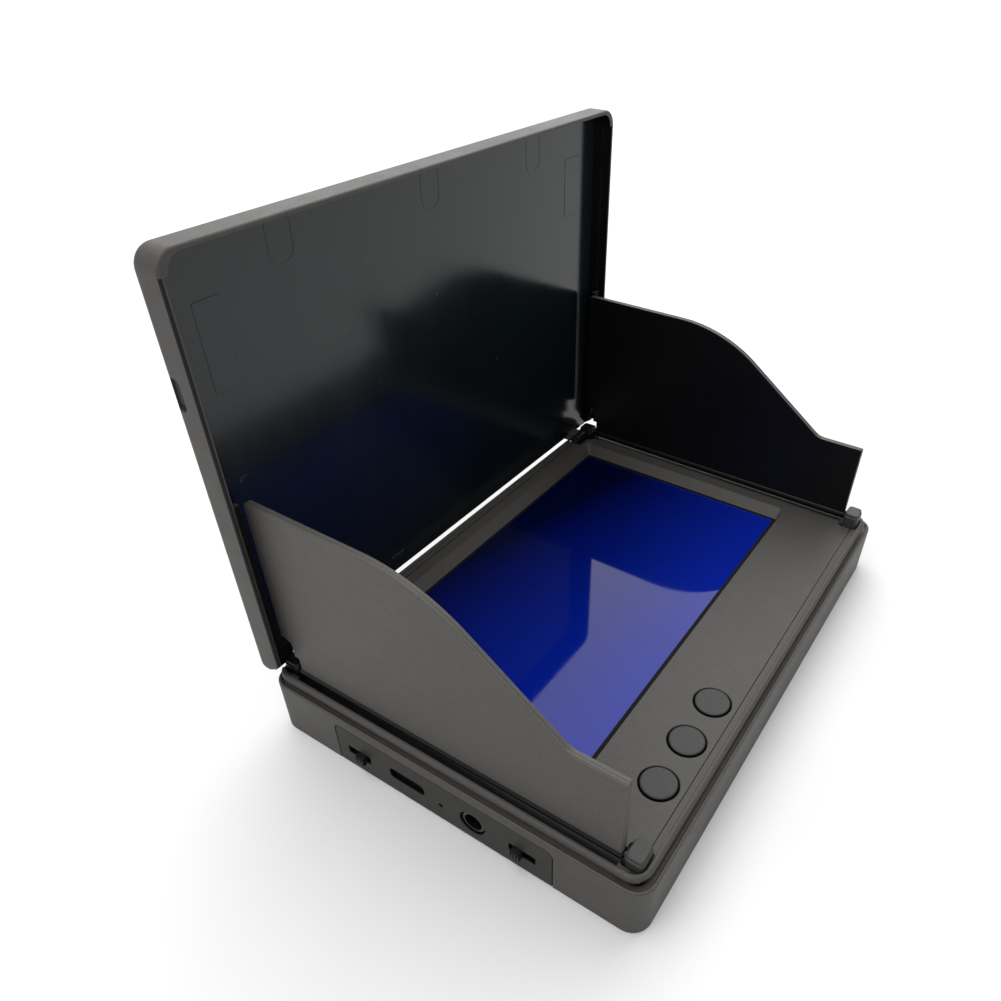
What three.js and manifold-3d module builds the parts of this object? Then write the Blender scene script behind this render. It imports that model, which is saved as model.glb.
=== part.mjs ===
// Hand-held counterfeit bill detector with a 4.3 inch screen and a folding viewing hood.
// Millimetres, +Z up. The origin is the centre of the base's flat underside, +X runs along the
// lid hinge towards the user's right, and +Y points from the buttons to the lid hinge.
// The lid stands open at 90 degrees and both side wings stand upright.

import * as THREE from "three";
import { mergeVertices } from "three/addons/utils/BufferGeometryUtils.js";
import Module from "manifold-3d";

const wasm = await Module();
wasm.setup();

// ---- driving dimensions ----------------------------------------------------------------

const GAP = 0.3; // clearance left between neighbouring pieces

const base = { length: 118.2, depth: 83.2, radius: 3.8, height: 12.4, wall: 2, floor: 2, edge: 0.3 };
const halfLength = base.length / 2;
const halfDepth = base.depth / 2;

const rim = { inset: 1.1, width: 1, bottom: 12.75, top: 14.2, radius: 3.4 };
const deck = { bottom: 11.6, top: 13.7 }; // the top panel around the screen
const opening = { halfX: 48, front: -20.9, back: 34, slope: 2.2, frontSlope: 0.8 };

const wing = {
  axisX: 54.9, axisZ: 14.9, thickness: 1.5, front: -35.2, back: 39.4, barrelBack: 35.9,
  barrelRadius: 1.1, boreRadius: 0.65, low: 18.3, high: 38.2, kinkY: -24.6, kinkRadius: 4,
  slope: THREE.MathUtils.degToRad(36), shoulderRadius: 34, notch: 3.4, lean: 2.6, corner: 0.8,
  root: 0.25,
};
const wingPin = { radius: 0.5, front: -38.2, back: 37.2 };
const cap = {
  top: 16, floor: 13.3, frontInner: 51.6, backInner: 52.2, outer: 56.1, front: -39, back: 40.3,
  radius: 0.9,
};

const hinge = { y: 38.7, z: 14.4, barrelRadius: 1.5, boreRadius: 0.7, inner: 48.2, outer: 51.9 };
const hingePin = { radius: 0.6, inner: 48.6, outer: 55.1 };

// lid sizes are measured from the hinge axis with the lid upright
const lid = {
  top: 79.9, bottom: -1.2, mating: -1.1, back: 5.2, wall: 1.6, endWall: 1, skin: 1.5,
  radius: 3.4, edge: 1.4, rabbetWidth: 0.8, rabbetDepth: 2, rabbetEnd: 76.5, slant: 4.5,
  gripDepth: 0.5, gripFront: 2.2, gripLow: 56, gripHigh: 61.5,
};
const liner = { front: 2.8, thickness: 0.7, bottom: 0.6, radius: 2.5 };

const plate = {
  back: -24.35, front: 24.75, bottom: 0.25, top: 10.25, radius: 1.5,
  thickness: 2.3, flange: 1, flangeMargin: 2, flangeBottom: 2.3, flangeTop: 11.3,
};
const usb = { y: 7.5, z: 5.4, width: 7.5, height: 2.7, depth: 5.5, wall: 0.4, slot: 8.5 };
const jack = { y: -7.5, z: 4.7, barrelRadius: 2.5, boreRadius: 1.8, bodyHalf: 3.1, length: 11 };
const lamp = { y: -0.4, z: 4.4, hole: 0.5, halfWidth: 0.8 };
const slider = { z: 4.8, slotLength: 5.4, slotHeight: 1.9, knob: 2, knobHeight: 1.5, proud: 1.2 };
const sliders = [
  { name: "back", slotY: 19.3, knobY: 18.4 },
  { name: "front", slotY: -18.2, knobY: -17.3 },
];

const button = {
  y: -33.3, firstX: -39.5, pitch: 10.9, radius: 3.35, top: 13.95, hole: 3.6,
  flangeRadius: 4, flangeTop: 11.25, flangeBottom: 10.5, stemRadius: 1.1, stemBottom: 6.2,
};
const buttonNames = ["left", "middle", "right"];
const tactSwitch = { half: 2.25, height: 1.2, plungerRadius: 0.9, top: 5.6 };

const glass = { halfX: 50.4, front: -23, back: 36.4, bottom: 10.6, top: 11.35 };
const lcd = { halfX: 51.8, front: -28.2, back: 38.2, top: 10.4, middle: 9.2, bottom: 7.3 };
const board = { left: -54.2, right: -13, halfY: 37, bottom: 2.9, top: 3.9 };
const battery = { left: 16, right: 50, front: -22, back: 34, bottom: 2.4, top: 6.9 };
const sensor = { y: 6, halfX: 12.7, halfY: 5.5, bottom: 5.9, top: 6.8, lampX: 10.5, lampRadius: 1.5 };
const sight = { halfLength: 15.7, halfWidth: 6.2, thickness: 1, ledgeWidth: 1.2 };

const screw = {
  frontX: 52, frontY: -34.4, backX: 54.1, backY: 30, headRadius: 1.9, shankRadius: 0.95,
  headBottom: 0.5, headTop: 2.1, tip: 9, sinkRadius: 2.2, holeRadius: 1.15, padTop: 3.6,
  padRadius: 2.9, bossRadius: 1.9, bossBottom: 3.9,
};

// ---- materials -------------------------------------------------------------------------

function plastic(color, roughness, metalness = 0) {
  return new THREE.MeshStandardMaterial({ color, roughness, metalness });
}

const looks = {
  shell: () => plastic(0x3a3937, 0.55),
  trim: () => plastic(0x34332f, 0.5),
  gloss: () => plastic(0x101317, 0.15),
  film: () => plastic(0x06105a, 0.05),
  rubber: () => plastic(0x232322, 0.7),
  steel: () => plastic(0xa8a8a6, 0.3, 1),
  panel: () => plastic(0x16181c, 0.2),
  circuit: () => plastic(0x12402a, 0.45),
  cell: () => plastic(0x9a9ea2, 0.4, 0.6),
  lamp: () => plastic(0xd8dadc, 0.1),
  filter: () => plastic(0x140a12, 0.08),
};

// ---- geometry helpers ------------------------------------------------------------------

// A manifold solid from any closed three.js geometry.
function solid(geometry) {
  geometry.deleteAttribute("normal");
  geometry.deleteAttribute("uv");
  const welded = mergeVertices(geometry, 1e-4);
  return new wasm.Manifold(new wasm.Mesh({
    numProp: 3,
    vertProperties: new Float32Array(welded.attributes.position.array),
    triVerts: new Uint32Array(welded.index.array),
  }));
}

function join(first, ...others) {
  return others.reduce((whole, piece) => whole.add(piece), first);
}

function cut(first, ...others) {
  return others.reduce((whole, piece) => whole.subtract(piece), first);
}

// The finished mesh of one sub-part.
function part(name, shape, look) {
  const mesh = shape.getMesh();
  const geometry = new THREE.BufferGeometry();
  geometry.setAttribute("position", new THREE.BufferAttribute(mesh.vertProperties, 3));
  geometry.setIndex(new THREE.BufferAttribute(mesh.triVerts, 1));
  geometry.computeVertexNormals();
  const result = new THREE.Mesh(geometry, look());
  result.name = name;
  return result;
}

function box([x0, x1], [y0, y1], [z0, z1]) {
  const geometry = new THREE.BoxGeometry(x1 - x0, y1 - y0, z1 - z0);
  return solid(geometry.translate((x0 + x1) / 2, (y0 + y1) / 2, (z0 + z1) / 2));
}

// An X range given on the positive side, mirrored when side is -1.
function span(side, inner, outer) {
  return side > 0 ? [inner, outer] : [-outer, -inner];
}

function roundedRect([u0, u1], [v0, v1], radius) {
  const shape = new THREE.Shape();
  shape.moveTo(u0 + radius, v0);
  shape.lineTo(u1 - radius, v0);
  shape.absarc(u1 - radius, v0 + radius, radius, -Math.PI / 2, 0, false);
  shape.lineTo(u1, v1 - radius);
  shape.absarc(u1 - radius, v1 - radius, radius, 0, Math.PI / 2, false);
  shape.lineTo(u0 + radius, v1);
  shape.absarc(u0 + radius, v1 - radius, radius, Math.PI / 2, Math.PI, false);
  shape.lineTo(u0, v0 + radius);
  shape.absarc(u0 + radius, v0 + radius, radius, Math.PI, Math.PI * 1.5, false);
  return shape;
}

// A flat outline raised from z0 to z1, with its edges softened by bevel.
function slab(shape, [z0, z1], bevel = 0, curveSegments = 5) {
  const geometry = new THREE.ExtrudeGeometry(shape, {
    depth: z1 - z0 - 2 * bevel,
    curveSegments,
    bevelEnabled: bevel > 0,
    bevelThickness: bevel,
    bevelSize: bevel,
    bevelOffset: -bevel,
    bevelSegments: bevel > 1 ? 3 : 1,
  });
  return solid(geometry.translate(0, 0, z0 + bevel));
}

// The same, standing: the outline is drawn in X and Z and has its thickness along Y.
function standingSlab(shape, [y0, y1], bevel = 0, curveSegments = 5) {
  return slab(shape, [-y1, -y0], bevel, curveSegments).rotate([90, 0, 0]);
}

// An outline drawn in Y and Z, with its thickness along X.
function profileAlongX(shape, [x0, x1], curveSegments = 5) {
  return slab(shape, [x0, x1], 0, curveSegments).rotate([90, 0, 90]);
}

function polygon(points) {
  return new THREE.Shape(points.map(([u, v]) => new THREE.Vector2(u, v)));
}

function rodZ(radius, [x, y], [z0, z1], segments = 16) {
  const geometry = new THREE.CylinderGeometry(radius, radius, z1 - z0, segments);
  return solid(geometry.rotateX(Math.PI / 2).translate(x, y, (z0 + z1) / 2));
}

function rodY(radius, [x, z], [y0, y1], segments = 12) {
  const geometry = new THREE.CylinderGeometry(radius, radius, y1 - y0, segments);
  return solid(geometry.translate(x, (y0 + y1) / 2, z));
}

function rodX(radius, [y, z], [x0, x1], segments = 12) {
  const geometry = new THREE.CylinderGeometry(radius, radius, x1 - x0, segments);
  return solid(geometry.rotateZ(Math.PI / 2).translate((x0 + x1) / 2, y, z));
}

// A block whose top rectangle differs from its bottom one.
function taperedBlock(bottomRect, topRect, [z0, z1]) {
  const geometry = new THREE.BoxGeometry(1, 1, 1);
  const position = geometry.attributes.position;
  for (let i = 0; i < position.count; i += 1) {
    const [[x0, x1], [y0, y1]] = position.getZ(i) > 0 ? topRect : bottomRect;
    const x = position.getX(i) > 0 ? x1 : x0;
    const y = position.getY(i) > 0 ? y1 : y0;
    position.setXYZ(i, x, y, position.getZ(i) > 0 ? z1 : z0);
  }
  return solid(geometry);
}

const screwPlaces = [
  ["front_left", -screw.frontX, screw.frontY],
  ["front_right", screw.frontX, screw.frontY],
  ["back_left", -screw.backX, screw.backY],
  ["back_right", screw.backX, screw.backY],
];

// ---- base ------------------------------------------------------------------------------

// The port plate's outline in Y and Z, grown by margin: round top corners, square bottom ones.
function plateOutline(margin, bottom) {
  const left = plate.back - margin;
  const right = plate.front + margin;
  const top = plate.top + margin;
  const radius = plate.radius + margin;
  const shape = new THREE.Shape();
  shape.moveTo(left, bottom);
  shape.lineTo(right, bottom);
  shape.lineTo(right, top - radius);
  shape.absarc(right - radius, top - radius, radius, 0, Math.PI / 2, false);
  shape.lineTo(left + radius, top);
  shape.absarc(left + radius, top - radius, radius, Math.PI / 2, Math.PI, false);
  return shape;
}

function bottomShell() {
  const outside = roundedRect([-halfLength, halfLength], [-halfDepth, halfDepth], base.radius);
  const innerX = halfLength - base.wall;
  const innerY = halfDepth - base.wall;
  const inside = roundedRect([-innerX, innerX], [-innerY, innerY], base.radius - base.wall);
  let shell = cut(
    slab(outside, [0, base.height], base.edge),
    slab(inside, [base.floor, base.height + 1]),
    profileAlongX(plateOutline(GAP, -1), [-halfLength - 1, -innerX + 0.1]),
    sightOutline(0, [base.floor - 1.2, base.floor + 1], GAP),
    sightOutline(-sight.ledgeWidth, [-1, base.floor], 0),
  );
  for (const [, x, y] of screwPlaces) {
    shell = join(shell, rodZ(screw.padRadius, [x, y], [base.floor - 0.5, screw.padTop])
      .intersect(slab(outside, [0, base.height])));
  }
  for (const [, x, y] of screwPlaces) {
    shell = cut(
      shell,
      rodZ(screw.sinkRadius, [x, y], [-1, screw.headTop + 0.2]),
      rodZ(screw.holeRadius, [x, y], [0, screw.padTop + 1]),
    );
  }
  return part("bottom_shell", shell, looks.shell);
}

// The rounded slot under the camera, grown by margin on its long outline.
function sightOutline(grow, zRange, margin) {
  const u = sight.halfLength + grow + margin;
  const v = sight.halfWidth + grow + margin;
  const shape = roundedRect([-u, u], [sensor.y - v, sensor.y + v], v - 0.01);
  return slab(shape, zRange);
}

function topBezel() {
  const rimX = halfLength - rim.inset;
  const rimY = halfDepth - rim.inset - 0.2;
  const deckX = halfLength - base.wall - GAP - 0.1;
  const deckY = halfDepth - base.wall - GAP - 0.1;
  const rimTop = slab(
    roundedRect([-rimX, rimX], [-rimY, rimY], rim.radius), [rim.bottom, rim.top], 0.3);
  const hollowX = rimX - rim.width;
  const hollowY = rimY - rim.width;
  const rimHollow = slab(
    roundedRect([-hollowX, hollowX], [-hollowY, hollowY], rim.radius - rim.width),
    [deck.top, rim.top + 1]);
  const deckBody = slab(roundedRect([-deckX, deckX], [-deckY, deckY], 2), [deck.bottom, rim.bottom + 0.2]);
  let bezel = cut(join(rimTop, deckBody), rimHollow, screenOpening());
  for (const side of [-1, 1]) {
    bezel = cut(bezel, ...wingPockets(side, hollowX));
  }
  for (const [, x, y] of screwPlaces) {
    bezel = join(bezel, rodZ(screw.bossRadius, [x, y], [screw.bossBottom, deck.bottom + 0.2]));
  }
  for (const [, x, y] of screwPlaces) {
    bezel = cut(bezel, rodZ(screw.holeRadius, [x, y], [0, screw.tip + 0.4]));
  }
  buttonNames.forEach((_, i) => {
    const x = button.firstX + i * button.pitch;
    bezel = cut(bezel, rodZ(button.hole, [x, button.y], [0, rim.top + 1], 24));
  });
  return part("top_bezel", bezel, looks.shell);
}

function screenOpening() {
  const { halfX, front, back, slope, frontSlope } = opening;
  return taperedBlock(
    [[-halfX, halfX], [front, back]],
    [[-halfX - slope, halfX + slope], [front - frontSlope, back + slope]],
    [deck.bottom - 0.1, deck.top + 0.1],
  );
}

// Room in the bezel for the wing barrel, both caps and the lid knuckle on one side.
function wingPockets(side, hollowX) {
  const barrelFloor = wing.axisZ - wing.barrelRadius - 0.5;
  const top = rim.top + 1;
  return [
    box(span(side, 53.2, hollowX), [wing.front - 0.1, wing.barrelBack + 0.1], [barrelFloor, top]),
    box(span(side, cap.frontInner - 0.2, cap.outer + 0.2),
      [cap.front - 0.2, wing.front], [cap.floor - 0.2, top]),
    box(span(side, cap.backInner - 0.2, cap.outer + 0.2),
      [wing.barrelBack, halfDepth], [cap.floor - 0.2, top]),
    box(span(side, hinge.inner - 0.3, hinge.outer + 0.4),
      [hinge.y - hinge.barrelRadius - 0.3, halfDepth], [cap.floor - 0.7, top]),
  ];
}

function portPlate() {
  const outer = -halfLength;
  const inner = outer + plate.thickness;
  const deep = inner + plate.flange;
  const flangeY = [plate.back - plate.flangeMargin, plate.front + plate.flangeMargin];
  let body = join(
    profileAlongX(plateOutline(0, plate.bottom), [outer, inner]),
    box([inner - 0.1, deep], flangeY, [plate.flangeBottom, plate.flangeTop]),
  );
  const through = [outer - 1, deep + 1];
  body = cut(
    body,
    box([outer + base.wall - 0.2, inner + 0.1], flangeY, [-1, plate.flangeBottom]),
    rodX(jack.barrelRadius + 0.15, [jack.y, jack.z], through, 20),
    rodX(lamp.hole, [lamp.y, lamp.z], through, 8),
    profileAlongX(usbOutline(usb.slot, usb.height + 0.5), through),
  );
  for (const { slotY } of sliders) {
    body = cut(body, box(through,
      [slotY - slider.slotLength / 2, slotY + slider.slotLength / 2],
      [slider.z - slider.slotHeight / 2, slider.z + slider.slotHeight / 2]));
  }
  return part("port_plate", body, looks.shell);
}

// The micro USB outline: flat and wide below, with its top corners cut away.
function usbOutline(width, height) {
  const u = width / 2;
  const v = height / 2;
  const bevel = height / 3;
  return polygon([
    [usb.y - u, usb.z - v], [usb.y + u, usb.z - v], [usb.y + u, usb.z + v - bevel],
    [usb.y + u - bevel, usb.z + v], [usb.y - u + bevel, usb.z + v], [usb.y - u, usb.z + v - bevel],
  ]);
}

function hingeCap(name, side, inner, [y0, y1], bores) {
  const outline = roundedRect(span(side, inner, cap.outer), [y0, y1], cap.radius);
  return part(name, cut(slab(outline, [cap.floor, cap.top], 0.3), ...bores), looks.trim);
}

function hingeCaps() {
  return [-1, 1].flatMap((side) => {
    const word = side < 0 ? "left" : "right";
    const pinBore = (range) => rodY(wing.boreRadius + 0.05, [side * wing.axisX, wing.axisZ], range);
    return [
      hingeCap(`front_hinge_cap_${word}`, side, cap.frontInner, [cap.front, wing.front - GAP],
        [pinBore([wingPin.front - 0.2, wing.front + 1])]),
      hingeCap(`back_hinge_cap_${word}`, side, cap.backInner, [wing.barrelBack + GAP, cap.back],
        [pinBore([wing.barrelBack - 1, wingPin.back + 0.2]),
          rodX(hinge.boreRadius, [hinge.y, hinge.z],
            span(side, hinge.outer - 1, hingePin.outer + 0.2))]),
    ];
  });
}

function screws() {
  return screwPlaces.map(([place, x, y]) => part(`case_screw_${place}`, cut(
    join(
      rodZ(screw.headRadius, [x, y], [screw.headBottom, screw.headTop]),
      rodZ(screw.shankRadius, [x, y], [screw.headTop - 0.2, screw.tip], 10),
    ),
    box([x - 1.2, x + 1.2], [y - 0.25, y + 0.25], [screw.headBottom - 1, screw.headBottom + 0.7]),
    box([x - 0.25, x + 0.25], [y - 1.2, y + 1.2], [screw.headBottom - 1, screw.headBottom + 0.7]),
  ), looks.steel));
}

// ---- controls --------------------------------------------------------------------------

function buttons() {
  const { radius, top, flangeRadius, flangeTop, flangeBottom, stemRadius, stemBottom } = button;
  const profile = [
    [0, stemBottom], [stemRadius, stemBottom], [stemRadius, flangeBottom],
    [flangeRadius, flangeBottom], [flangeRadius, flangeTop], [radius, flangeTop],
    [radius, top - 0.35], [radius - 0.35, top - 0.08], [radius / 2, top], [0, top],
  ].map(([r, z]) => new THREE.Vector2(r, z));
  return buttonNames.map((name, i) => {
    const cap = solid(new THREE.LatheGeometry(profile, 24).rotateX(Math.PI / 2));
    const mesh = part(`button_${name}`, cap, looks.rubber);
    mesh.position.set(button.firstX + i * button.pitch, button.y, 0);
    return mesh;
  });
}

function tactSwitches() {
  const bodyTop = board.top + 0.05 + tactSwitch.height;
  const { half, plungerRadius, top } = tactSwitch;
  return buttonNames.map((name, i) => {
    const body = join(
      box([-half, half], [-half, half], [board.top + 0.05, bodyTop]),
      rodZ(plungerRadius, [0, 0], [bodyTop - 0.2, top], 10),
    );
    const mesh = part(`tact_switch_${name}`, body, looks.panel);
    mesh.position.set(button.firstX + i * button.pitch, button.y, 0);
    return mesh;
  });
}

function sliderKnobs() {
  const outer = -halfLength - slider.proud;
  const flangeOuter = -halfLength + plate.thickness + plate.flange + 0.15;
  const flangeInner = flangeOuter + 0.6;
  return sliders.map(({ name, knobY }) => {
    const knob = join(
      box([outer, flangeInner], [-slider.knob / 2, slider.knob / 2],
        [-slider.knobHeight / 2, slider.knobHeight / 2]),
      box([flangeOuter, flangeInner], [-1.9, 1.9], [-slider.slotHeight / 2 + 0.1, 1.3]),
    );
    const mesh = part(`slider_knob_${name}`, knob, looks.rubber);
    mesh.position.set(0, knobY, slider.z);
    return mesh;
  });
}

function slideSwitches() {
  return sliders.map(({ name, slotY }) => {
    const half = slider.slotLength / 2 + 1.5;
    const body = box([board.left + 0.1, board.left + 3.6], [-half, half], [board.top + 0.05, 6.2]);
    const mesh = part(`slide_switch_${name}`, body, looks.panel);
    mesh.position.set(0, slotY, 0);
    return mesh;
  });
}

// ---- electronics -----------------------------------------------------------------------

function screenGlass() {
  const outline = roundedRect([-glass.halfX, glass.halfX], [glass.front, glass.back], 1);
  return part("screen_glass", slab(outline, [glass.bottom, glass.top]), looks.film);
}

function lcdPanel() {
  const range = [[-lcd.halfX, lcd.halfX], [lcd.front, lcd.back]];
  return part("lcd_panel", box(...range, [lcd.middle + 0.15, lcd.top]), looks.panel);
}

function backlightTray() {
  const range = [[-lcd.halfX, lcd.halfX], [lcd.front, lcd.back]];
  return part("backlight_tray", box(...range, [lcd.bottom, lcd.middle]), looks.cell);
}

function mainBoard() {
  let body = box([board.left, board.right], [-board.halfY, board.halfY], [board.bottom, board.top]);
  const jackInner = -halfLength + plate.thickness + plate.flange + jack.length + 1.4;
  body = cut(
    body,
    box([board.left - 1, jackInner], [jack.y - 3.5, jack.y + 3.5], [0, 9]),
    rodZ(screw.padRadius + 0.5, [-screw.frontX, screw.frontY], [0, 9]),
    rodZ(screw.padRadius + 0.5, [-screw.backX, screw.backY], [0, 9]),
    box([board.left - 1, -screw.frontX], [-board.halfY - 1, screw.frontY], [0, 9]),
  );
  return part("main_board", body, looks.circuit);
}

function batteryCell() {
  const outline = roundedRect([battery.left, battery.right], [battery.front, battery.back], 2);
  return part("battery", slab(outline, [battery.bottom, battery.top], 1), looks.cell);
}

function usbSocket() {
  const outer = -halfLength + 0.7;
  const wall = usb.wall;
  const inner = outer + usb.depth;
  const mouth = usbOutline(usb.width - 2 * wall, usb.height - 2 * wall);
  const socket = join(
    cut(
      profileAlongX(usbOutline(usb.width, usb.height), [outer, inner]),
      profileAlongX(mouth, [outer - 1, inner - wall]),
    ),
    box([outer + 0.6, inner - wall / 2], [usb.y - 1.9, usb.y + 1.9], [usb.z - 0.1, usb.z + 0.5]),
  );
  return part("usb_socket", socket, looks.steel);
}

function avJack() {
  const outer = -halfLength + 0.4;
  const shoulder = -halfLength + plate.thickness + plate.flange + 0.2;
  const inner = shoulder + jack.length;
  const body = cut(
    join(
      rodX(jack.barrelRadius, [jack.y, jack.z], [outer, shoulder + 1], 20),
      box([shoulder, inner], [jack.y - jack.bodyHalf, jack.y + jack.bodyHalf],
        [base.floor + GAP, 2 * jack.z - base.floor - GAP]),
    ),
    rodX(jack.boreRadius, [jack.y, jack.z], [outer - 1, inner - 1], 16),
  );
  return part("av_jack", body, looks.panel);
}

function chargeLamp() {
  const y = [lamp.y - lamp.halfWidth, lamp.y + lamp.halfWidth];
  const body = box([board.left + 0.1, board.left + 1.4], y, [board.top + 0.1, board.top + 1]);
  return part("charge_lamp", body, looks.lamp);
}

function sightGlass() {
  const low = base.floor - 1.1;
  return part("sensor_window", sightOutline(0, [low, low + sight.thickness], 0), looks.filter);
}

function sensorPieces() {
  const { y, halfX, halfY, bottom, top, lampX, lampRadius } = sensor;
  const sensorBoard = box([-halfX, halfX], [y - halfY, y + halfY], [bottom, top]);
  const camera = join(
    rodZ(3, [0, y], [base.floor + 0.4, 4]),
    box([-4.5, 4.5], [y - 4.5, y + 4.5], [3.8, bottom - 0.2]),
  );
  const lamps = [-1, 1].map((side) => part(
    `infrared_lamp_${side < 0 ? "left" : "right"}`,
    rodZ(lampRadius, [side * lampX, y], [base.floor + 0.5, bottom - 0.2], 12),
    looks.lamp));
  return [
    part("sensor_board", sensorBoard, looks.circuit),
    part("camera_module", camera, looks.panel),
    ...lamps,
  ];
}

// ---- wings -----------------------------------------------------------------------------

// The wing's side outline: Y along the body and height above the hinge axis.
function wingOutline() {
  const { root, back, low, high, kinkY, kinkRadius, slope, notch, lean, corner } = wing;
  const front = wing.front + 0.1;
  const barrelBack = wing.barrelBack - 0.1;
  const radius = wing.shoulderRadius;
  const rise = high - low - radius * (1 - Math.cos(slope));
  const shoulderY = kinkY + rise / Math.tan(slope) + radius * Math.sin(slope);
  const tangent = kinkRadius * Math.tan(slope / 2);
  const shape = new THREE.Shape();
  shape.moveTo(barrelBack, root);
  shape.lineTo(barrelBack, notch);
  shape.lineTo(back - lean, notch);
  shape.lineTo(back, high - corner);
  shape.quadraticCurveTo(back, high, back - corner, high);
  shape.lineTo(shoulderY, high);
  shape.absarc(shoulderY, high - radius, radius, Math.PI / 2, Math.PI / 2 + slope, false);
  shape.lineTo(kinkY + tangent * Math.cos(slope), low + tangent * Math.sin(slope));
  shape.quadraticCurveTo(kinkY, low, kinkY - tangent, low);
  shape.lineTo(front + corner, low);
  shape.quadraticCurveTo(front, low, front, low - corner);
  shape.lineTo(front, root);
  return shape;
}

function sideWing(side) {
  const half = wing.thickness / 2;
  const blade = profileAlongX(wingOutline(), [-half, half], 6);
  const barrel = rodY(wing.barrelRadius, [0, 0], [wing.front, wing.barrelBack]);
  const bore = rodY(wing.boreRadius, [0, 0], [wing.front - 1, wing.back + 1], 10);
  const mesh = part(side < 0 ? "left_wing" : "right_wing", cut(join(blade, barrel), bore), looks.shell);
  mesh.position.set(side * wing.axisX, 0, wing.axisZ);
  return mesh;
}

function wingPins() {
  return [-1, 1].map((side) => {
    const pin = rodY(wingPin.radius, [0, 0], [wingPin.front, wingPin.back], 10);
    const mesh = part(`${side < 0 ? "left" : "right"}_wing_pin`, pin, looks.steel);
    mesh.position.set(side * wing.axisX, 0, wing.axisZ);
    return mesh;
  });
}

// ---- lid -------------------------------------------------------------------------------

function lidShell() {
  const sheet = standingSlab(
    roundedRect([-halfLength, halfLength], [lid.bottom, lid.top], lid.radius),
    [lid.mating - 2, lid.back], lid.edge);
  const innerX = halfLength - lid.wall;
  const tray = standingSlab(
    roundedRect([-innerX, innerX], [lid.bottom - 9, lid.top - lid.endWall], liner.radius + 0.3),
    [lid.mating - 1, lid.back - lid.skin]);
  const heel = profileAlongX(polygon([
    [lid.mating - 9, lid.bottom + lid.slant + 9 * lid.slant / (lid.back - lid.mating)],
    [lid.back + 1, lid.bottom - lid.slant / (lid.back - lid.mating)],
    [lid.back + 1, lid.bottom - 9], [lid.mating - 9, lid.bottom - 9],
  ]), [-halfLength - 1, halfLength + 1]);
  const front = box([-halfLength - 1, halfLength + 1], [lid.mating - 9, lid.mating],
    [lid.bottom - 9, lid.top + 9]);
  let shell = cut(sheet, front, tray, heel);
  for (const side of [-1, 1]) {
    const rabbetX = span(side, innerX - 0.1, innerX + lid.rabbetWidth);
    shell = cut(shell, box(rabbetX, [lid.mating - 1, lid.mating + lid.rabbetDepth], [-9, lid.rabbetEnd]));
  }
  shell = cut(shell, box([-halfLength - 1, -halfLength + lid.gripDepth], [lid.gripFront, lid.back + 1],
    [lid.gripLow, lid.gripHigh]));
  for (const side of [-1, 1]) {
    const knuckleX = span(side, hinge.inner, hinge.outer);
    const armX = span(side, hinge.inner + 0.15, hinge.outer - 0.15);
    const arm = box(armX, [0, lid.back - 1], [-0.7, hinge.barrelRadius - 0.1]);
    shell = join(shell, arm, rodX(hinge.barrelRadius, [0, 0], knuckleX, 16));
  }
  for (const side of [-1, 1]) {
    const boreX = span(side, hinge.inner - 1, hinge.outer + 1);
    shell = cut(shell, rodX(hinge.boreRadius, [0, 0], boreX, 10));
  }
  return part("lid_shell", shell, looks.shell);
}

function lidLiner() {
  const edge = halfLength - lid.wall - GAP;
  const outline = roundedRect([-edge, edge], [liner.bottom, lid.top - lid.endWall - GAP], liner.radius);
  let panel = standingSlab(outline, [liner.front, liner.front + liner.thickness]);
  for (const side of [-1, 1]) {
    const armX = span(side, hinge.inner - GAP, hinge.outer + GAP);
    panel = cut(panel, box(armX, [0, lid.back], [-1, hinge.barrelRadius + GAP]));
  }
  return part("lid_liner", panel, looks.gloss);
}

function lidPins() {
  return [-1, 1].map((side) => part(
    `lid_pin_${side < 0 ? "left" : "right"}`,
    rodX(hingePin.radius, [hinge.y, hinge.z], span(side, hingePin.inner, hingePin.outer), 10),
    looks.steel));
}

// ---- assembly --------------------------------------------------------------------------

function group(name, ...children) {
  const result = new THREE.Group();
  result.name = name;
  result.add(...children);
  return result;
}

const housing = group("housing", bottomShell(), topBezel(), portPlate(), ...hingeCaps(), ...screws());
const controls = group("controls", ...buttons(), ...tactSwitches(), ...sliderKnobs(), ...slideSwitches());
const display = group("display", screenGlass(), lcdPanel(), backlightTray());
const electronics = group(
  "electronics", mainBoard(), batteryCell(), usbSocket(), avJack(), chargeLamp(), sightGlass(),
  ...sensorPieces());
const hood = group("hood", sideWing(-1), sideWing(1), ...wingPins(), ...lidPins());
const lidGroup = group("lid", lidShell(), lidLiner());
lidGroup.position.set(0, hinge.y, hinge.z);

export default group("bill_detector", housing, controls, display, electronics, hood, lidGroup);
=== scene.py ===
"""Counterfeit bill detector with a folding viewing hood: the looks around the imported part.

Lengths are millimetres until mesh_object() turns them into metres. X runs along the lid hinge,
Y from the buttons to the hinge, Z up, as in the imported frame.
"""

import math

import bmesh
import bpy
from mathutils import Matrix, Vector


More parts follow.
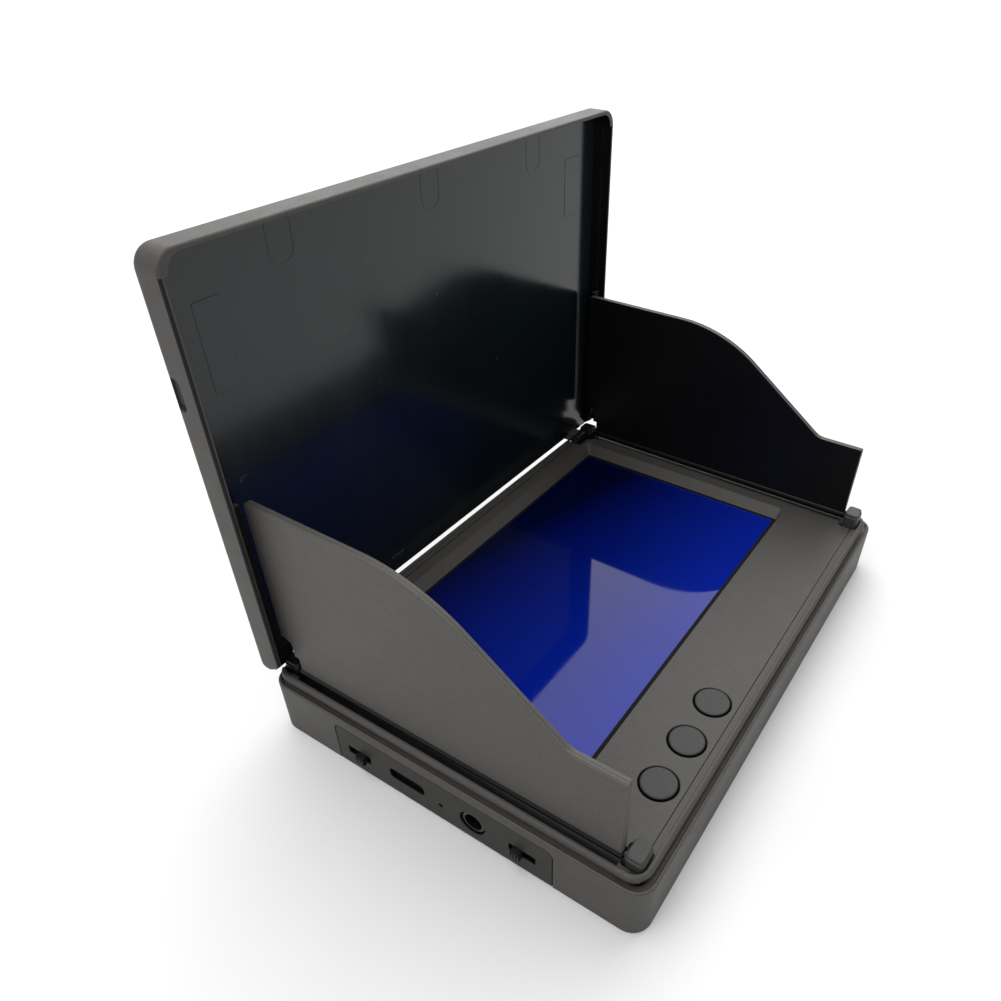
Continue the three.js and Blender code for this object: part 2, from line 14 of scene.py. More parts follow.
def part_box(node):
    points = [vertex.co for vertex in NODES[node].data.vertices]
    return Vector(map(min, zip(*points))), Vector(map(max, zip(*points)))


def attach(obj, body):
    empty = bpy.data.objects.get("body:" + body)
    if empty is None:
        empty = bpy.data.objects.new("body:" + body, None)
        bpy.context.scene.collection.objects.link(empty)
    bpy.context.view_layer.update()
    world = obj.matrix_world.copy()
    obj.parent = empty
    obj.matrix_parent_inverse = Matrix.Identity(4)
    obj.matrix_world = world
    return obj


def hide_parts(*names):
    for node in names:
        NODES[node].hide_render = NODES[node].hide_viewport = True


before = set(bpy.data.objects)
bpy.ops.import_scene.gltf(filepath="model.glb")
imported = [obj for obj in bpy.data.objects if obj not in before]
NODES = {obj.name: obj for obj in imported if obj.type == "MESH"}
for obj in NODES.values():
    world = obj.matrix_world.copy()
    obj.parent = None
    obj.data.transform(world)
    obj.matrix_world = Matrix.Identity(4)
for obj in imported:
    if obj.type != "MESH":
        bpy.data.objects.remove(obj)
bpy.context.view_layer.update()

MM = 0.001
SIDES = {"left": -1, "right": 1}
BUTTONS = ("left", "middle", "right")
SCREW_PLACES = ("front_left", "front_right", "back_left", "back_right")

# Driving places and sizes in the part's frame.
DECK = 13.7  # height of the upper casing inside its rim
CORNER = 3.4  # vertical corners of the rim and of the lid
BASE_CORNER = 3.8
PLATE = {"left": -24.35, "right": 24.75, "top": 10.25, "radius": 1.5}  # port plate in Y and Z
USB_PLACE = (7.5, 5.4)  # Y and Z of what sits in the port plate
LAMP_PLACE = (-0.4, 4.4)
JACK_PLACE = (-7.5, 4.7)
LEVER_Y = {"back": 19.3, "front": -18.2}
LEVER_Z = 4.8
BUTTON_RADIUS = 3.35
WING_X, WING_Z = 54.9, 14.9  # axes of the wing hinges
LID_Y, LID_Z = 38.7, 14.4  # axis of the lid hinge
KNUCKLE = (48.2, 51.9)  # the lid's right knuckle along X
KNUCKLE_GAP = (47.9, 52.2)  # the room that the liner leaves for it
TRAY_TOP = 79.2  # height of the lid's tray above the lid hinge

# Small limits of the mesh tools.
LEAST_CORNER = 0.02
LEAST_RADIUS = 0.01
MERGE_DISTANCE = 0.004
MITRE_LIMIT = 0.3
SHARP_ANGLE = 35


# ---- meshes ------------------------------------------------------------------------------

def node_box(name):
    """A CAD node's lowest and highest corners in millimetres."""
    low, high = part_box(name)
    return low / MM, high / MM


def centre_of(name):
    """The middle of a CAD node's box in X and Y."""
    low, high = node_box(name)
    return (low.x + high.x) / 2, (low.y + high.y) / 2


def on_side(side, inner, outer):
    """An X range on the right, or its mirror image where side is -1."""
    return (inner, outer) if side > 0 else (-outer, -inner)


def both_sides(inner, outer):
    """An X range on the right and its mirror image on the left."""
    return [on_side(side, inner, outer) for side in (1, -1)]


def mesh_object(name, points, faces):
    """A mesh from points in millimetres, with its faces turned outwards."""
    mesh = bpy.data.meshes.new(name)
    mesh.from_pydata([Vector(p) * MM for p in points], [], faces)
    work = bmesh.new()
    work.from_mesh(mesh)
    bmesh.ops.recalc_face_normals(work, faces=work.faces)
    work.to_mesh(mesh)
    work.free()
    obj = bpy.data.objects.new(name, mesh)
    bpy.context.scene.collection.objects.link(obj)
    return obj


def along_z(u, v, w):
    """Outlines drawn in X and Y, stacked along Z."""
    return (u, v, w)


def along_x(u, v, w):
    """Outlines drawn in Y and Z, stacked along X."""
    return (w, u, v)


def along_y(u, v, w):
    """Outlines drawn in X and Z, stacked along Y."""
    return (u, w, v)


def loft(name, rings, place=along_z):
    """A closed solid through a stack of (outline, height) rings with the same number of points."""
    count = len(rings[0][0])
    points = [place(u, v, w) for outline, w in rings for u, v in outline]
    faces = [list(range(count))]
    for r in range(len(rings) - 1):
        a, b = r * count, (r + 1) * count
        for i in range(count):
            j = (i + 1) % count
            faces.append([a + i, a + j, b + j, b + i])
    last = (len(rings) - 1) * count
    faces.append([last + i for i in range(count)])
    return mesh_object(name, points, faces)


def bend(u, v, radius, start, end, steps):
    """Points of an arc about (u, v), angles in degrees."""
    angles = [math.radians(start + (end - start) * i / steps) for i in range(steps + 1)]
    return [(u + radius * math.cos(a), v + radius * math.sin(a)) for a in angles]


def rounded(u, v, radius, steps):
    """A rectangle with round corners from its (low, high) ranges."""
    radius = max(radius, LEAST_CORNER)
    points = []
    for at_u, at_v, start in ((1, 0, -90), (1, 1, 0), (0, 1, 90), (0, 0, 180)):
        centre_u = u[at_u] + (radius, -radius)[at_u]
        centre_v = v[at_v] + (radius, -radius)[at_v]
        points += bend(centre_u, centre_v, radius, start, start + 90, steps)
    return points


def circle(u, v, radius, steps):
    """Points of a circle about (u, v)."""
    return [(u + radius * math.cos(2 * math.pi * i / steps),
             v + radius * math.sin(2 * math.pi * i / steps)) for i in range(steps)]


def panel_rings(u, v, radius, profile, steps):
    """Rings of a rounded rectangle, drawn in by each step of a profile of (inset, height)."""
    return [(rounded((u[0] + i, u[1] - i), (v[0] + i, v[1] - i), radius - i, steps), w)
            for i, w in profile]


def inset_outline(outline, distance):
    """The outline drawn in by a small distance, with mitred corners."""
    result = []
    count = len(outline)
    for i, point in enumerate(outline):
        here = Vector(point)
        before = (here - Vector(outline[i - 1])).normalized()
        after = (Vector(outline[(i + 1) % count]) - here).normalized()
        normal = Vector((-before.y - after.y, before.x + after.x))
        normal.normalize()
        share = max(normal.dot(Vector((-before.y, before.x))), MITRE_LIMIT)
        result.append(tuple(here + normal * (distance / share)))
    return result


def outline_rings(outline, profile):
    """Rings of any outline, drawn in by each step of a profile of (inset, height)."""
    return [(inset_outline(outline, i) if i else outline, w) for i, w in profile]


def block(x, y, z, radius=0):
    """A box from its ranges, with round vertical corners where a radius is given."""
    return loft("block", panel_rings(x, y, radius, [(0, z[0]), (0, z[1])], 4 if radius else 1))


def turned(name, centre, profile, place=along_z, steps=40):
    """A solid of revolution from (radius, height) pairs about an axis through centre."""
    return loft(name, [(circle(*centre, max(r, LEAST_RADIUS), steps), h) for r, h in profile], place)


def settle(obj):
    """Applies every modifier to the mesh."""
    bpy.context.view_layer.update()
    graph = bpy.context.evaluated_depsgraph_get()
    mesh = bpy.data.meshes.new_from_object(obj.evaluated_get(graph))
    obj.modifiers.clear()
    obj.data = mesh
    mesh.name = obj.name


def combine(obj, tools, operation):
    """Joins or cuts obj with each tool in turn and removes the tools."""
    for tool in tools:
        modifier = obj.modifiers.new("carve", "BOOLEAN")
        modifier.operation = operation
        modifier.solver = "EXACT"
        modifier.object = tool
    settle(obj)
    for tool in tools:
        bpy.data.objects.remove(tool)


def carve(obj, *tools):
    combine(obj, tools, "DIFFERENCE")


def weld(obj, *tools):
    combine(obj, tools, "UNION")


def soften(obj, width, segments=2):
    """Small radii on every sharp edge, and normals that keep the flats flat."""
    work = bmesh.new()
    work.from_mesh(obj.data)
    bmesh.ops.remove_doubles(work, verts=work.verts, dist=MERGE_DISTANCE * MM)
    bmesh.ops.dissolve_degenerate(work, dist=MERGE_DISTANCE * MM, edges=work.edges)
    work.to_mesh(obj.data)
    work.free()
    if width:
        modifier = obj.modifiers.new("edges", "BEVEL")
        modifier.width = width * MM
        modifier.segments = segments
        modifier.limit_method = "ANGLE"
        modifier.angle_limit = math.radians(SHARP_ANGLE)
        modifier.use_clamp_overlap = True
    for face in obj.data.polygons:
        face.use_smooth = True
    modifier = obj.modifiers.new("flats", "WEIGHTED_NORMAL")
    modifier.keep_sharp = False
    settle(obj)
    return obj


def finish_piece(obj, body, node, slot, *materials):
    """Gives a visible piece its materials and puts it on its body in place of its CAD node."""
    for material in materials:
        obj.data.materials.append(material)
    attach(obj, body)
    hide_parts(node)


# ---- materials ---------------------------------------------------------------------------

def new_tree(name):
    """A new material with its node tree, its main shader and the place of each surface point."""
    material = bpy.data.materials.new(name)
    material.use_nodes = True
    tree = material.node_tree
    where = add(tree, "ShaderNodeTexCoord").outputs["Object"]
    return material, tree, tree.nodes["Principled BSDF"], where


def add(tree, kind, inputs=(), **settings):
    """A node with its settings; inputs maps a socket's name or number to a value or an output."""
    made = tree.nodes.new(kind)
    for key, value in settings.items():
        setattr(made, key, value)
    for key, value in dict(inputs).items():
        if isinstance(value, bpy.types.NodeSocket):
            tree.links.new(value, made.inputs[key])
        else:
            made.inputs[key].default_value = value
    return made


def noise(tree, where, period, detail=2.0, roughness=0.5, stretch=None):
    """Noise with a period in millimetres."""
    if stretch:
        where = add(tree, "ShaderNodeMapping", {"Vector": where, "Scale": stretch}).outputs[0]
    made = add(tree, "ShaderNodeTexNoise", {
        "Vector": where, "Scale": 1 / (period * MM), "Detail": detail, "Roughness": roughness})
    return made.outputs[0]


def scaled(tree, value, low, high, start=0.25, end=0.75):
    """Maps start to end onto low to high, without going past them."""
    made = add(tree, "ShaderNodeMapRange", {
        "Value": value, "From Min": start, "From Max": end, "To Min": low, "To Max": high})
    return made.outputs[0]


def product(tree, a, b):
    return add(tree, "ShaderNodeMath", {0: a, 1: b}, operation="MULTIPLY").outputs[0]


def total(tree, a, b):
    return add(tree, "ShaderNodeMath", {0: a, 1: b}, operation="ADD").outputs[0]


def blended(tree, factor, a, b):
    """A colour that goes from a to b as factor goes from 0 to 1."""
    made = add(tree, "ShaderNodeMix", data_type="RGBA")
    for socket, value in ((made.inputs[0], factor), (made.inputs[6], a), (made.inputs[7], b)):
        if isinstance(value, bpy.types.NodeSocket):
            tree.links.new(value, socket)
        else:
            socket.default_value = value
    return made.outputs[2]


def grey(value, warmth=0):
    """A grey, leaning to yellow where warmth is positive."""
    return (value * (1 + warmth), value, value * (1 - 1.6 * warmth), 1)


def edge_mask(tree):
    """1 along edges and 0 on flats."""
    rounded_normal = add(tree, "ShaderNodeBevel", {"Radius": 0.35 * MM}, samples=4).outputs[0]
    normal = add(tree, "ShaderNodeNewGeometry").outputs["Normal"]
    facing = add(tree, "ShaderNodeVectorMath", {0: rounded_normal, 1: normal},
                 operation="DOT_PRODUCT").outputs["Value"]
    return scaled(tree, facing, 1.0, 0.0, 0.9, 0.995)


def moulded(name, base, roughness, specular, edge_wear_and_highlight=0.2, warmth=0.02, grain=0.4, depth=0.02):
    """Textured moulded plastic: spark-eroded grain, patchy handling sheen, and edges worn smoother whose
    colour is lightened as a painted highlight.
    """
    material, tree, shader, where = new_tree(name)
    patches = noise(tree, where, 24, 3)
    mottle = noise(tree, where, 2.6, 3)
    texture = noise(tree, where, grain, 2, 0.65)
    body = blended(tree, scaled(tree, patches, 0, 1), grey(base * 0.86, warmth), grey(base * 1.12, warmth))
    body = blended(tree, scaled(tree, texture, 0, 0.55), body, grey(base * 1.7, warmth))
    edge = edge_mask(tree)
    # Painted highlight: the colour turns lighter along the edges, patchily, for the light they catch; the
    # lower roughness below is the worn part.
    painted_edge_highlight = product(tree, edge, scaled(tree, mottle, 0.4 * edge_wear_and_highlight, edge_wear_and_highlight))
    body = blended(tree, painted_edge_highlight, body, grey(base * 2.6 + 0.01, warmth))
    tree.links.new(body, shader.inputs["Base Color"])
    rough = total(tree, scaled(tree, patches, -0.05, 0.05), scaled(tree, mottle, -0.035, 0.035))
    rough = total(tree, rough, product(tree, edge, -0.12 * edge_wear_and_highlight))
    rough = total(tree, rough, roughness)
    tree.links.new(rough, shader.inputs["Roughness"])
    bump = add(tree, "ShaderNodeBump", {
        "Strength": 0.7, "Distance": depth * MM, "Height": texture})
    tree.links.new(bump.outputs[0], shader.inputs["Normal"])
    shader.inputs["Specular IOR Level"].default_value = specular
    return material


def polished(name, colour, roughness, wave=0, dust=0.5, specular=0.5):
    """Polished plastic or glass: slight waviness, faint wiping marks and specks of dust."""
    material, tree, shader, where = new_tree(name)
    wipes = noise(tree, where, 9, 4, 0.6, stretch=(1, 1, 0.22))
    cells = add(tree, "ShaderNodeTexVoronoi", {"Vector": where, "Scale": 1 / (3.4 * MM)})
    specks = scaled(tree, cells.outputs["Distance"], 1, 0, 0.028, 0.045)
    picked = scaled(tree, noise(tree, where, 7, 1), 0, 1, 0.52, 0.6)
    specks = product(tree, product(tree, specks, picked), dust)
    wiped = tuple(c * 1.5 + 0.002 for c in colour[:3]) + (1,)
    tint = blended(tree, scaled(tree, wipes, 0, 0.35), colour, wiped)
    tint = blended(tree, specks, tint, (0.32, 0.33, 0.34, 1))
    tree.links.new(tint, shader.inputs["Base Color"])
    rough = total(tree, scaled(tree, wipes, -0.03, 0.05), roughness)
    tree.links.new(total(tree, rough, product(tree, specks, 0.5)), shader.inputs["Roughness"])
    if wave:
        waves = noise(tree, where, 19, 1)
        bump = add(tree, "ShaderNodeBump", {"Strength": 0.6, "Distance": wave * MM, "Height": waves})
        tree.links.new(bump.outputs[0], shader.inputs["Normal"])
    shader.inputs["Specular IOR Level"].default_value = specular
    shader.inputs["IOR"].default_value = 1.5
    return material


def metal(name, base, roughness, stretch=(1, 14, 14)):
    """Brushed or rolled metal with faint stains."""
    material, tree, shader, where = new_tree(name)
    lines = noise(tree, where, 1.1, 4, 0.6, stretch=stretch)
    stains = noise(tree, where, 3.5, 3)
    tint = blended(tree, scaled(tree, stains, 0, 1), grey(base * 0.8), grey(base * 1.08))
    tree.links.new(tint, shader.inputs["Base Color"])
    stained = scaled(tree, stains, roughness - 0.04, roughness + 0.06)
    tree.links.new(total(tree, scaled(tree, lines, -0.08, 0.1), stained), shader.inputs["Roughness"])
    bump = add(tree, "ShaderNodeBump", {"Strength": 0.4, "Distance": 0.004 * MM, "Height": lines})
    tree.links.new(bump.outputs[0], shader.inputs["Normal"])
    shader.inputs["Metallic"].default_value = 1.0
    return material


def circuit(name):
    """Green solder mask with tinned pads and darker tracks."""
    material, tree, shader, where = new_tree(name)
    grid = add(tree, "ShaderNodeTexBrick", {"Vector": where, "Scale": 1 / (6 * MM), "Mortar Size": 0.05})
    pads = add(tree, "ShaderNodeTexVoronoi", {"Vector": where, "Scale": 1 / (2.4 * MM)},
               distance="CHEBYCHEV")
    pad = scaled(tree, pads.outputs["Distance"], 1, 0, 0.14, 0.18)
    board = blended(tree, grid.outputs["Fac"], (0.012, 0.09, 0.04, 1), (0.03, 0.16, 0.08, 1))
    tree.links.new(blended(tree, pad, board, (0.6, 0.6, 0.58, 1)), shader.inputs["Base Color"])
    tree.links.new(scaled(tree, noise(tree, where, 4), 0.3, 0.5), shader.inputs["Roughness"])
    bump = add(tree, "ShaderNodeBump", {"Strength": 0.5, "Distance": 0.03 * MM, "Height": pad})
    tree.links.new(bump.outputs[0], shader.inputs["Normal"])
    return material


def blue_screen(name, across, along):
    """A lit blue display behind glass, whose picture area has the given X and Y ranges. Painted light and
    shade make it brighter towards the front left and darker towards the back, where the lid shades it, with
    a black border outside its picture area."""
    material, tree, shader, where = new_tree(name)
    parts = add(tree, "ShaderNodeSeparateXYZ", {0: where}).outputs
    masks = []
    for output, (low, high) in ((parts[0], across), (parts[1], along)):
        middle = (low + high) / 2 * MM
        half = (high - low) / 2 * MM
        offset = add(tree, "ShaderNodeMath", {0: output, 1: middle}, operation="SUBTRACT").outputs[0]
        size = add(tree, "ShaderNodeMath", {0: offset}, operation="ABSOLUTE").outputs[0]
        masks.append(add(tree, "ShaderNodeMath", {0: size, 1: half}, operation="LESS_THAN").outputs[0])
    lit = product(tree, *masks)
    cloud = noise(tree, where, 30, 2)
    slant = total(tree, parts[1], product(tree, parts[0], 0.25))
    # Painted light and shade: brighter towards the front left and darker towards the back, where the lid
    # shades the display, in both the glow and the blue.
    painted_front_light = scaled(tree, slant, 1.0, 0.03, -32 * MM, 32 * MM)
    strength = product(tree, product(tree, lit, painted_front_light), scaled(tree, cloud, 0.85, 1.1))
    blue = blended(tree, painted_front_light, (0.0002, 0.0012, 0.006, 1), (0.001, 0.006, 0.06, 1))
    # Painted shade: the black border outside the picture area, made matt below, is partly the display's own
    # black mask and partly the shadowed gap at the opening's edge.
    tree.links.new(blended(tree, lit, (0.002, 0.002, 0.004, 1), blue), shader.inputs["Base Color"])
    tree.links.new(blended(tree, lit, (0, 0, 0, 1), (0.0, 0.03, 1, 1)), shader.inputs["Emission Color"])
    tree.links.new(product(tree, strength, 0.26), shader.inputs["Emission Strength"])
    wipes = noise(tree, where, 12, 4, 0.6, stretch=(1, 0.3, 1))
    matt = scaled(tree, lit, 0.85, 0, 0, 1)
    tree.links.new(total(tree, matt, scaled(tree, wipes, 0.02, 0.06)), shader.inputs["Roughness"])
    shader.inputs["Specular IOR Level"].default_value = 0.27
    return material


CASE = moulded("case_plastic", 0.038, roughness=0.52, specular=0.32, edge_wear_and_highlight=0.15, warmth=0.05)
# A lighter copy of the case plastic for the wings: the extra lightness is painted light, for the light on
# their outer faces.
WING_PLASTIC_LIT = moulded("wing_plastic_painted_lighter", 0.052, roughness=0.54, specular=0.34, warmth=0.05)
# A darker copy of the case plastic for the port plate: the extra darkness is painted shade, for the shaded
# floor beside the left face.
PORT_PLATE_SHADED = moulded("port_plate_plastic_painted_darker", 0.018, roughness=0.5, specular=0.2, edge_wear_and_highlight=0.35, warmth=0.05)
# Near-black, smoother plastic used as painted shade: on the wings' inner faces and the low strip by their
# barrels, in the trough beside the wings, on the back hinge caps, and on the lid's tray walls, side lips,
# thumb recess and knuckles.
HOOD_SHADE = moulded("hood_painted_shade_plastic", 0.003, roughness=0.38, specular=0.2, warmth=-0.02, depth=0.008)
HINGE = moulded("hinge_plastic", 0.024, roughness=0.46, specular=0.3, edge_wear_and_highlight=0.35, warmth=0.03, depth=0.014)
LINER = polished("liner_plastic", (0.0035, 0.0062, 0.0078, 1), roughness=0.15, wave=0.02, specular=0.42)
RUBBER = moulded("button_rubber", 0.024, roughness=0.6, specular=0.4, grain=0.3, depth=0.012)
# Also used on the buttons' sides as painted shade.
KNOB = moulded("knob_plastic", 0.004, roughness=0.42, specular=0.22, edge_wear_and_highlight=0.3, depth=0.01)
SOCKET = metal("socket_steel", 0.04, roughness=0.4)
# Near-black plastic used as painted shade inside slots, holes and bores.
RECESS_SHADE = moulded("recess_painted_shade", 0.0012, roughness=0.6, specular=0.08, edge_wear_and_highlight=0.1, depth=0.01)
COMPONENT = moulded("component_plastic", 0.008, roughness=0.32, specular=0.5, edge_wear_and_highlight=0.6, depth=0.006)
PINS = metal("pin_steel", 0.55, roughness=0.28)
DARK_PINS = metal("pin_blackened", 0.05, roughness=0.4)
FILTER = polished("filter_glass", (0.008, 0.002, 0.004, 1), roughness=0.05, dust=0.25)
PANEL = polished("display_panel", (0.01, 0.01, 0.014, 1), roughness=0.2)
TRAY = metal("backlight_metal", 0.6, roughness=0.35)
POUCH = metal("cell_pouch", 0.55, roughness=0.42, stretch=(1, 1, 1))
RESIN = polished("lamp_resin", (0.7, 0.72, 0.74, 1), roughness=0.1)
BOARD = circuit("circuit_board")
SCREEN = blue_screen("screen_film", (-47.5, 47.5), (-20.0, 33.6))


# ---- base --------------------------------------------------------------------------------

def plate_outline(margin, bottom):
    """The port plate in Y and Z: round top corners and square bottom ones."""
    left, right = PLATE["left"] - margin, PLATE["right"] + margin
    top, radius = PLATE["top"] + margin, PLATE["radius"] + margin
    points = [(left, bottom), (right, bottom)]
    for centre, start in ((right - radius, 0), (left + radius, 90)):
        points += bend(centre, top - radius, radius, start, start + 90, 8)
    return points


def bottom_shell():
    """A tray with a stepped edge, screw wells and the sensor's slot in its floor."""
    low, high = node_box("bottom_shell")
    top, edge, wall = high.z, 0.35, 2
    seam = [(0.5, 0), (0.65, 0.15), (0.75, 0.6), (1.6, 0.65), (wall, 0.8)]
    profile = (bend(edge, edge, edge, 270, 180, 4) + bend(edge, top - edge, edge, 180, 90, 4)
               + [(inset, top - drop) for inset, drop in seam] + [(wall, wall)])
    shell = loft("bottom_shell_piece",
                 panel_rings((low.x, high.x), (low.y, high.y), BASE_CORNER, profile, 12))
    centres = [centre_of(f"case_screw_{place}") for place in SCREW_PLACES]
    weld(shell, *[turned("pad", centre, [(2.9, 1.5), (2.9, 3.6)], steps=32) for centre in centres])
    window_low, window_high = node_box("sensor_window")
    y = (window_low.y + window_high.y) / 2
    long, wide = window_high.x, (window_high.y - window_low.y) / 2

    def slot(*levels):
        """The sensor window's outline, grown by the first number of each level."""
        return loft("slot", [(rounded((-long - g, long + g), (y - wide - g, y + wide + g), wide + g, 12), z)
                             for g, z in levels])

    opening = plate_outline(0.18, -1)
    tools = [
        loft("opening", [(opening, low.x - 1), (opening, low.x + 2.2)], along_x),
        slot((-0.3, -0.4), (-1.2, 0.5), (-1.2, 2.5)),
        slot((0.1, 0.85), (0.1, 3)),
    ]
    for centre in centres:
        tools.append(turned("sink", centre, [(2.75, -0.3), (2.2, 0.25), (2.2, 2.3)]))
        tools.append(turned("hole", centre, [(1.15, 1), (1.15, 5)], steps=24))
    carve(shell, *tools)
    finish_piece(soften(shell, 0.12), "base", "bottom_shell", "case_plastic", CASE)


def top_bezel():
    """The upper casing: a round rim, a grooved deck, the screen opening and room for the hinges."""
    low, high = node_box("top_bezel")
    rim, under, groove = high.z, 11.6, DECK - 0.35
    back = high.y + 1.0
    profile = ([(1.75, under), (1.75, 12.75)] + bend(0.3, 13.05, 0.3, 270, 180, 3)
               + bend(0.72, rim - 0.72, 0.72, 180, 90, 6)
               + [(0.92, rim), (1.04, rim - 0.1), (1.08, DECK), (2.08, DECK), (2.12, groove),
                  (2.36, groove), (2.4, DECK)])
    bezel = loft("top_bezel_piece", panel_rings((low.x, high.x), (low.y, back), CORNER, profile, 12))
    inner = rounded((-48, 48), (-20.9, 34), 0.5, 6)
    outer = rounded((-50.2, 50.2), (-21.7, 36.2), 1.3, 6)
    tools = [loft("opening", [
        (inner, under - 0.5), (inner, under + 0.02), (outer, DECK), (outer, DECK + 1)])]
    pockets = (
        ((53.2, high.x - 1.0), (-34.9, 36.0), 12.4, 0.3),  # wing barrel
        ((51.4, 56.3), (-39.2, -34.7), 13.1, 1.05),  # front cap
        ((52.0, 56.3), (35.8, 42.5), 13.1, 0.5),  # back cap
        ((47.9, 52.3), (36.9, 42.5), 12.6, 0.3),  # lid knuckle
    )
    for side in SIDES.values():
        for x, y, floor, radius in pockets:
            tools.append(block(on_side(side, *x), y, (floor, 15), radius=radius))
    hole = BUTTON_RADIUS + 0.33
    for name in BUTTONS:
        tools.append(turned("hole", centre_of(f"button_{name}"), [
            (hole, 10), (hole, DECK - 0.12), (hole + 0.12, DECK), (hole + 0.12, DECK + 1)], steps=48))
    carve(bezel, *tools)
    finish_piece(soften(bezel, 0.1), "base", "top_bezel", "case_plastic", CASE, HOOD_SHADE)
    # Painted shade: the trough beside each wing takes the near-black plastic.
    for face in bezel.data.polygons:
        x, _, z = face.center / MM
        shaded_trough = 53 < abs(x) < high.x - 0.9 and z < DECK - 0.3
        face.material_index = 1 if shaded_trough else 0


def port_plate():
    """A plate on a thicker backing, cut by the socket mouths, the lamp hole and two switch slots."""
    low, high = node_box("port_plate")
    face, inner, beyond = low.x, low.x + 2.3, high.x + 1
    plate = loft("port_plate_piece", outline_rings(
        plate_outline(0, low.z), [(0.16, face), (0, face + 0.16), (0, inner)]), along_x)
    weld(plate, block((inner - 0.1, high.x), (low.y, high.y), (2.3, high.z)))

    def through(centre, half_y, half_z, radius, back):
        """A slot from outside the plate to X = back, with a chamfered mouth."""
        y, z = centre
        chamfer = 0.14
        return loft("slot", [
            (rounded((y - half_y - g, y + half_y + g), (z - half_z - g, z + half_z + g), radius + g, 6), x)
            for g, x in ((chamfer + 0.5, face - 0.5), (0, face + chamfer), (0, back))], along_x)

    usb_y, usb_z = USB_PLACE
    tools = [
        through(USB_PLACE, 4.1, 1.35, 1.0, face + 1.0),
        block((face + 0.85, beyond), (usb_y - 4.25, usb_y + 4.25), (usb_z - 1.6, usb_z + 1.6)),
        turned("jack_hole", JACK_PLACE, [(3.3, face - 0.4), (2.72, face + 0.2), (2.72, beyond)], along_x),
        turned("lamp_hole", LAMP_PLACE, [(0.9, face - 0.3), (0.5, face + 0.15), (0.5, beyond)],
               along_x, 20),
        through((LEVER_Y["back"], LEVER_Z), 2.75, 1.0, 0.2, beyond),
        through((LEVER_Y["front"], LEVER_Z), 2.75, 1.0, 0.2, beyond),
    ]
    carve(plate, *tools)
    finish_piece(soften(plate, 0.07), "base", "port_plate", "case_plastic", PORT_PLATE_SHADED, RECESS_SHADE)
    # Painted shade: every face of the plate that does not face outwards, in its slots, holes and mouths,
    # takes the near-black plastic.
    for polygon in plate.data.polygons:
        polygon.material_index = 1 if polygon.normal.x > -0.55 else 0


def hinge_caps():
    """Blocks with a stepped top that hold the ends of the wing pins. The front right one is tallest."""
    # Painted shade: the back caps, under the lid, take the near-black plastic; the front ones take the
    # hinge plastic.
    for end, plastic in (("front", HINGE), ("back", HOOD_SHADE)):
        for word, side in SIDES.items():
            name = f"{end}_hinge_cap_{word}"
            low, high = node_box(name)
            top = high.z + (1.2 if name == "front_hinge_cap_right" else 0.2)
            profile = ([(0.2, low.z), (0, low.z + 0.2), (0, top - 0.85), (0.08, top - 0.74),
                        (0.22, top - 0.72), (0.24, top - 0.22)] + bend(0.46, top - 0.22, 0.22, 180, 90, 4))
            cap = loft(f"{name}_piece", panel_rings((low.x, high.x), (low.y, high.y), 0.95, profile, 6))
            bore = (-38.4, high.y + 1) if end == "front" else (low.y - 1, 37.4)
            carve(cap, turned("bore", (side * WING_X, WING_Z), [(0.7, y) for y in bore], along_y, 20))
            finish_piece(soften(cap, 0.06), "base", name, "hinge_plastic", plastic)


# ---- controls and sockets ----------------------------------------------------------------

def buttons():
    """Round push buttons with a flange under the deck, a round edge and a slightly domed top."""
    for name in BUTTONS:
        low, high = node_box(f"button_{name}")
        top = high.z + 0.1
        profile = ([(0.4, low.z), (1.1, low.z), (1.1, 10.5), (4, 10.5), (4, 11.25), (BUTTON_RADIUS, 11.25)]
                   + [(BUTTON_RADIUS - i, z) for i, z in bend(0.38, top - 0.42, 0.38, 180, 90, 6)]
                   + [(2.4, top - 0.015), (1.2, top - 0.003), (0.3, top)])
        piece = turned(f"button_{name}_piece", centre_of(f"button_{name}"), profile, steps=56)
        finish_piece(soften(piece, 0), f"button_{name}", f"button_{name}", "button_rubber", RUBBER, KNOB)
        # Painted shade: the sides and underside of each button take the dark knob plastic.
        for face in piece.data.polygons:
            face.material_index = 1 if face.normal.z < 0.45 else 0


def slider_knobs():
    """Ribbed levers that reach lower outside the port plate than in its slot."""
    for name in ("back", "front"):
        node = f"slider_knob_{name}"
        low, high = node_box(node)
        y, z = (low.y + high.y) / 2, LEVER_Z
        outer = low.x
        plate_face = node_box("port_plate")[0].x
        up, hang = 0.75, 1.3
        body = loft(f"{node}_piece", [
            (rounded((y - 1 + i, y + 1 - i), (z - down + i, z + up - i), 0.25, 4), x)
            for i, down, x in ((0.12, hang, outer), (0, hang, outer + 0.14), (0, hang, plate_face - 0.3),
                               (0, up, plate_face - 0.2), (0, up, high.x - 0.1))], along_x)
        weld(body, block((high.x - 0.6, high.x), (low.y, high.y), (low.z, high.z)))
        carve(body, *[block((outer - 1, outer + 0.22), (y + shift - 0.11, y + shift + 0.11), (z - 2, z + 2))
                      for shift in (-0.55, 0, 0.55)])
        finish_piece(soften(body, 0.04), node, node, "knob_plastic", KNOB)


